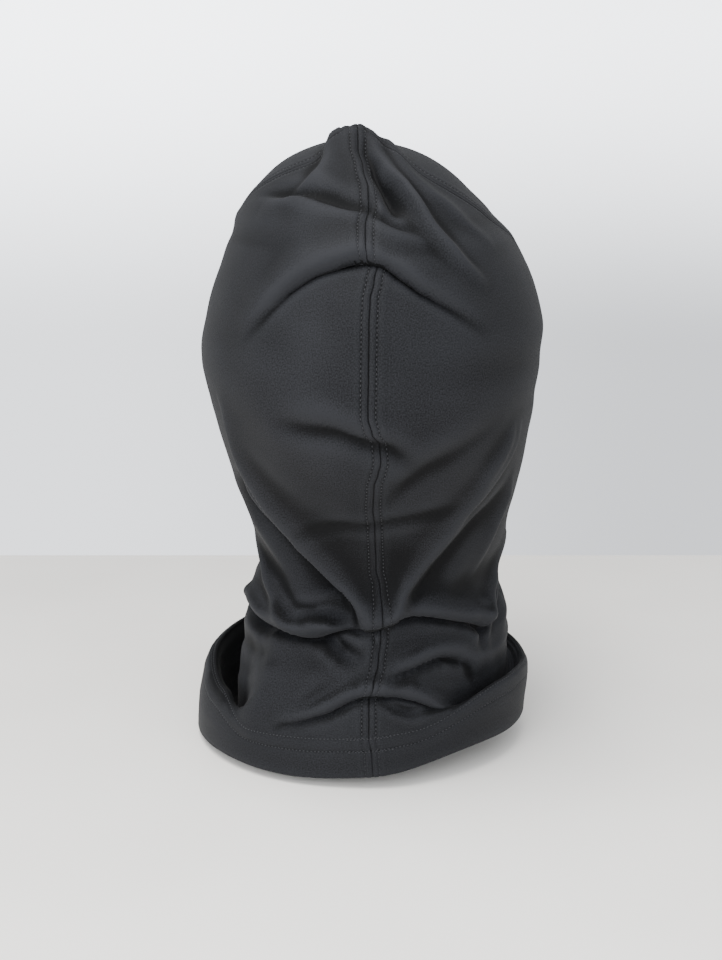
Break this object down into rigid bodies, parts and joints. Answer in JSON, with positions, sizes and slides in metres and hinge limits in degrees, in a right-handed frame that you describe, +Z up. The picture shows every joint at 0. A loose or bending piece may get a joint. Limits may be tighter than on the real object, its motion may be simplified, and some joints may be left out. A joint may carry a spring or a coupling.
{
  "type": "balaclava",
  "caption": "Close-fitting stretch-fabric balaclava as worn, with a seamed hood, an eye opening and a flared, hemmed neck.",
  "frame": {"origin": "middle of the wearer's head, level with the ears, on the hood's plane of symmetry", "axes": "+Z up to the crown, -Y out through the face, +Y to the back of the head, +X to the wearer's left"},
  "size_m": [0.1648, 0.1995, 0.2871],
  "materials": {
    "hood_fabric": "matte, fine-grained stretch knit, charcoal black",
    "sewing_thread": "spun polyester thread, black"
  },
  "bodies": {
    "root": {"side_panel_left": "hood_fabric", "side_panel_right": "hood_fabric", "crown_panel": "hood_fabric", "back_seam_needle_thread_left": "sewing_thread", "back_seam_needle_thread_right": "sewing_thread", "back_seam_looper_thread": "sewing_thread", "back_seam_joining_thread": "sewing_thread", "crown_seam_needle_thread_back": "sewing_thread", "crown_seam_needle_thread_front": "sewing_thread", "crown_seam_looper_thread": "sewing_thread", "crown_seam_joining_thread": "sewing_thread", "front_seam_needle_thread_left": "sewing_thread", "front_seam_needle_thread_right": "sewing_thread", "front_seam_looper_thread": "sewing_thread", "front_seam_joining_thread": "sewing_thread", "eye_hem_needle_thread_outer": "sewing_thread", "eye_hem_needle_thread_inner": "sewing_thread", "eye_hem_looper_thread": "sewing_thread", "neck_hem_needle_thread_upper": "sewing_thread", "neck_hem_needle_thread_lower": "sewing_thread", "neck_hem_looper_thread": "sewing_thread"}
  },
  "joints": []
}
